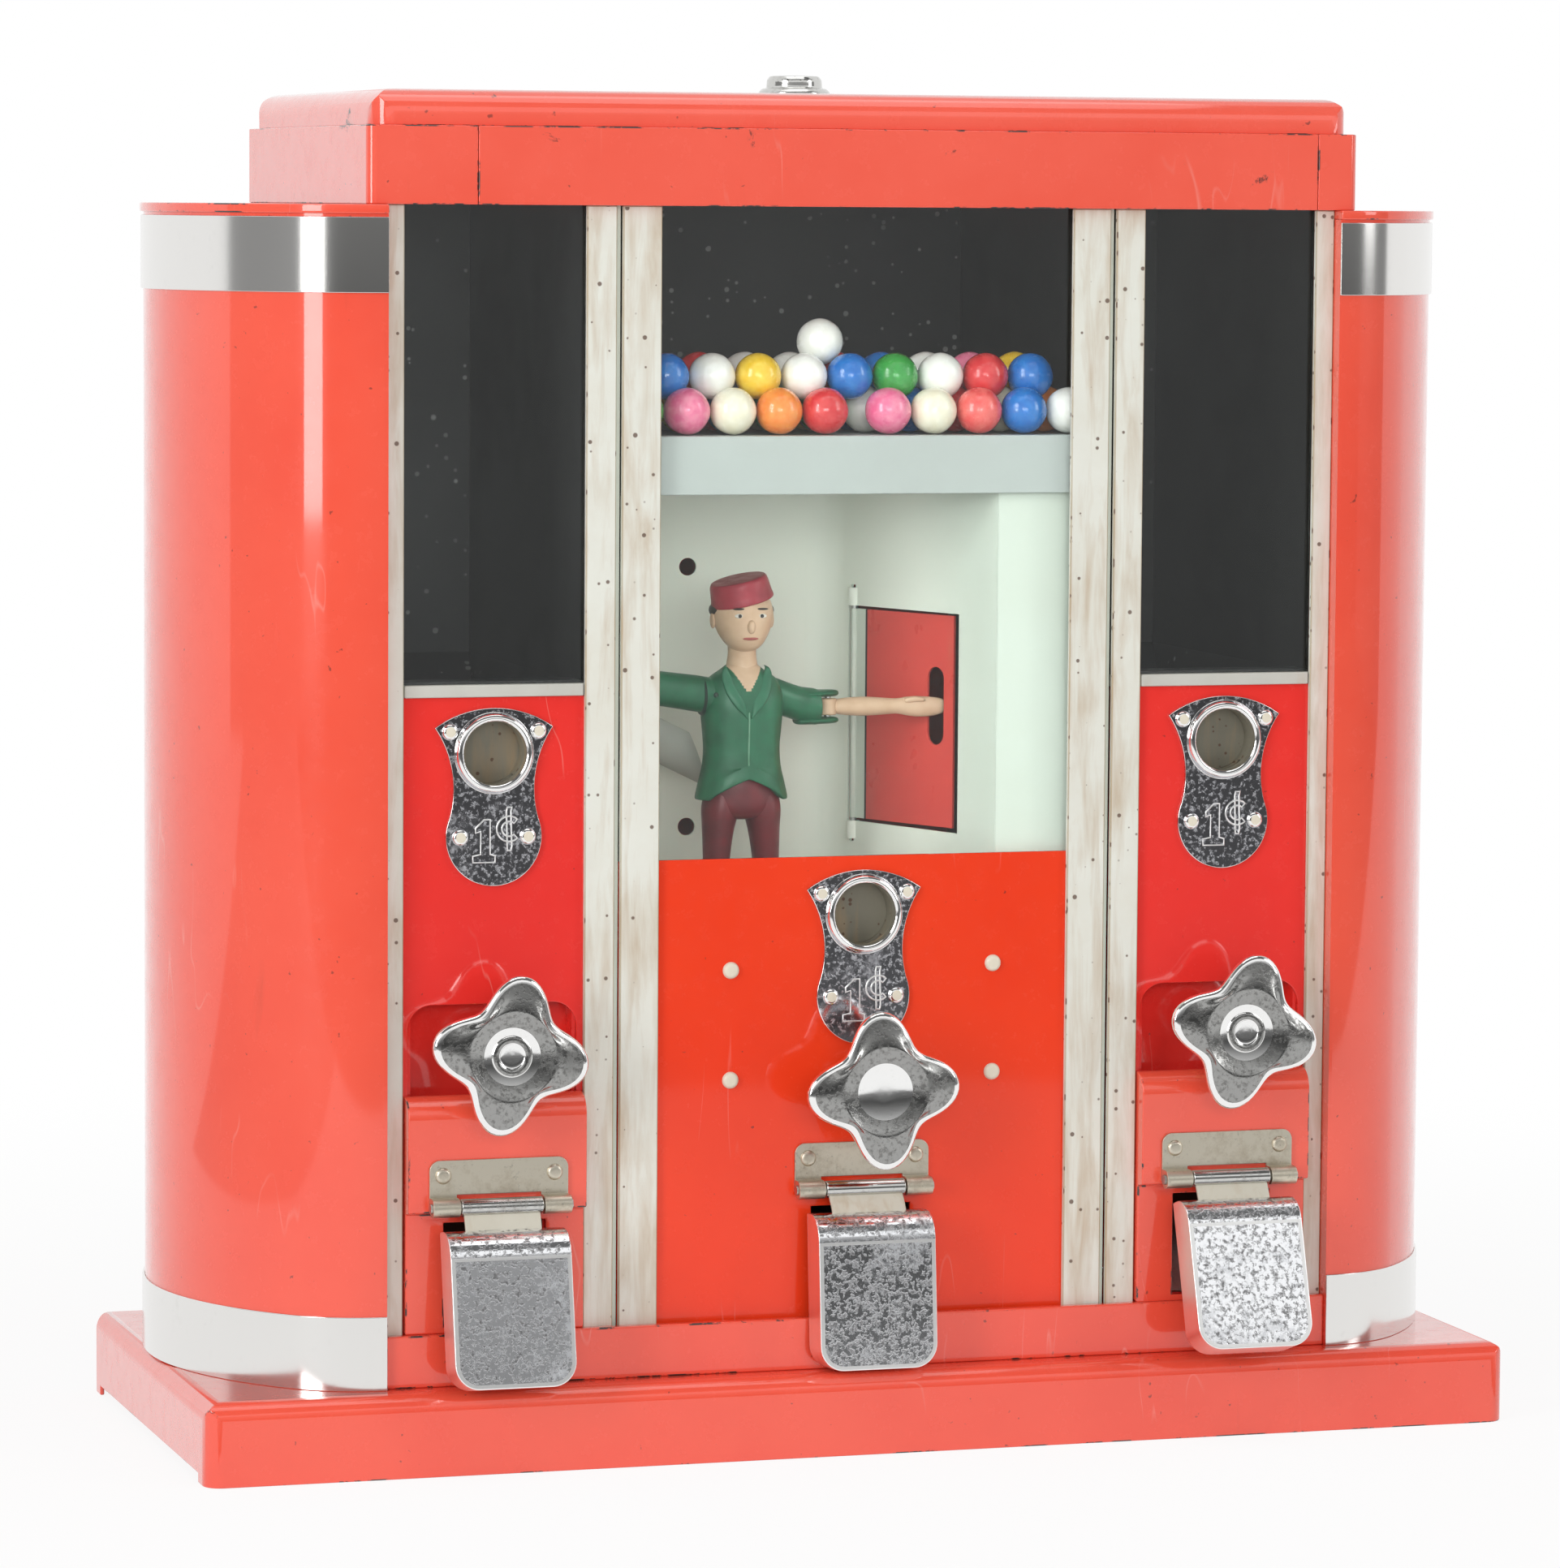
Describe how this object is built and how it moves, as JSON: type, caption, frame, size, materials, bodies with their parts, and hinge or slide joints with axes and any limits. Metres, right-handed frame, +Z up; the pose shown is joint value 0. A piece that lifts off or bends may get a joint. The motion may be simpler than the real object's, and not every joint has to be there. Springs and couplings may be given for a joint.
{
  "type": "triple vending machine",
  "caption": "Counter-top coin vending machine with two side bins, a centre gum hopper, lobed knobs, flaps, and a stage whose figure opens a door.",
  "frame": {"origin": "middle of the overall box, on the surface the machine stands on", "axes": "+X to the right seen from the front, +Y to the back, +Z up"},
  "size_m": [0.446, 0.2076, 0.4495],
  "materials": {
    "body_red": "worn red enamel",
    "panel_red": "worn deep red enamel",
    "panel_orange": "worn orange-red enamel",
    "strip_grey": "rusted grey paint",
    "stage_cream": "cream paint",
    "door_red": "red paint",
    "black_bin": "black paint",
    "bright_metal": "pitted bright plating",
    "old_nickel": "tarnished nickel",
    "dull_steel": "dull zinc",
    "gear_brass": "plain",
    "ivory_rivet": "ivory enamel",
    "clear_glass": "clear",
    "gum_mixed": "sugar shell, mixed colours",
    "porter_green": "painted cast figure",
    "porter_flesh": "painted cast arm, flesh tone"
  },
  "bodies": {
    "cabinet": {"base_pan": "body_red", "front_rail": "body_red", "back_panel": "body_red", "partitions": "stage_cream", "left_cover": "body_red", "right_cover": "body_red", "cover_caps": "body_red", "bright_bands": "bright_metal", "header_front": "body_red", "header_wraps": "body_red", "window_strips": "strip_grey", "left_glass": "clear_glass", "center_glass": "clear_glass", "right_glass": "clear_glass", "left_panel": "panel_red", "center_panel": "panel_orange", "right_panel": "panel_red", "panel_sills": "dull_steel", "left_chute_front": "body_red", "right_chute_front": "body_red", "left_mechanism_box": "panel_red", "right_mechanism_box": "panel_red", "stage_frame": "dull_steel", "left_coin_plate": "bright_metal", "center_coin_plate": "bright_metal", "right_coin_plate": "bright_metal", "coin_cups": "dull_steel", "coin_chutes": "dull_steel", "rivets": "ivory_rivet", "hinge_brackets": "old_nickel", "hinge_pins": "dull_steel", "left_hopper": "black_bin", "center_hopper": "black_bin", "right_hopper": "black_bin", "gum_tray": "dull_steel", "gumballs": "gum_mixed", "theatre_walls": "stage_cream", "ball_chute": "dull_steel", "delivery_chutes": "dull_steel", "cash_tray": "dull_steel", "lock_keeper": "dull_steel"},
    "left_dial": {"left_knob": "bright_metal", "left_drum": "gear_brass"},
    "center_dial": {"center_knob": "bright_metal", "center_shaft": "gear_brass"},
    "right_dial": {"right_knob": "bright_metal", "right_drum": "gear_brass"},
    "rack": {"rack_bar": "dull_steel"},
    "porter": {"spindle_gear": "gear_brass", "figure": "porter_green", "elbow_pin": "dull_steel"},
    "forearm": {"forearm": "porter_flesh"},
    "door": {"door": "door_red"},
    "left_flap": {"left_flap": "bright_metal"},
    "center_flap": {"center_flap": "bright_metal"},
    "right_flap": {"right_flap": "bright_metal"},
    "lid": {"lid": "body_red", "lock_body": "bright_metal"},
    "lock_plug": {"lock_plug": "bright_metal"}
  },
  "joints": [
    {"name": "left_knob_turn", "type": "hinge", "parent": "cabinet", "child": "left_dial", "pos_m": [-0.125, -0.06621, 0.136], "axis": [0, 1, 0], "continuous": true},
    {"name": "right_knob_turn", "type": "hinge", "parent": "cabinet", "child": "right_dial", "pos_m": [0.125, -0.06621, 0.136], "axis": [0, 1, 0], "continuous": true},
    {"name": "center_knob_turn", "type": "hinge", "parent": "cabinet", "child": "center_dial", "pos_m": [0, -0.06621, 0.1205], "axis": [0, 1, 0], "range_deg": [0, 90]},
    {"name": "rack_slide", "type": "slide", "parent": "cabinet", "child": "rack", "axis": [1, 0, 0], "range_m": [0, 0.0118]},
    {"name": "figure_turn", "type": "hinge", "parent": "cabinet", "child": "porter", "pos_m": [-0.03, -0.02421, 0.17], "axis": [0, 0, 1], "range_deg": [0, 30]},
    {"name": "forearm_swing", "type": "hinge", "parent": "porter", "child": "forearm", "pos_m": [0.00151, -0.01865, 0.2405], "axis": [0, 0, 1], "range_deg": [-64, 0]},
    {"name": "door_swing", "type": "hinge", "parent": "cabinet", "child": "door", "pos_m": [0.02129, 0.014, 0.2355], "axis": [0, 0, 1], "range_deg": [-22.5, 0]},
    {"name": "left_flap_lift", "type": "hinge", "parent": "cabinet", "child": "left_flap", "pos_m": [-0.125, -0.07621, 0.086], "axis": [-1, 0, 0], "range_deg": [0, 44]},
    {"name": "center_flap_lift", "type": "hinge", "parent": "cabinet", "child": "center_flap", "pos_m": [0, -0.06821, 0.086], "axis": [-1, 0, 0], "range_deg": [0, 40]},
    {"name": "right_flap_lift", "type": "hinge", "parent": "cabinet", "child": "right_flap", "pos_m": [0.125, -0.07621, 0.086], "axis": [-1, 0, 0], "range_deg": [0, 37]},
    {"name": "lid_lift", "type": "slide", "parent": "cabinet", "child": "lid", "axis": [0, 0, 1], "range_m": [0, 0.06]},
    {"name": "lock_turn", "type": "hinge", "parent": "lid", "child": "lock_plug", "pos_m": [0, 0.01779, 0.44], "axis": [0, 0, 1], "range_deg": [0, 90]}
  ],
  "couplings": [
    {"joint": "rack_slide", "follows": "center_knob_turn", "m_per_rad": 0.0075},
    {"joint": "figure_turn", "follows": "center_knob_turn", "ratio": 0.33333},
    {"joint": "forearm_swing", "follows": "center_knob_turn", "ratio": -0.71111},
    {"joint": "door_swing", "follows": "center_knob_turn", "ratio": -0.25}
  ]
}
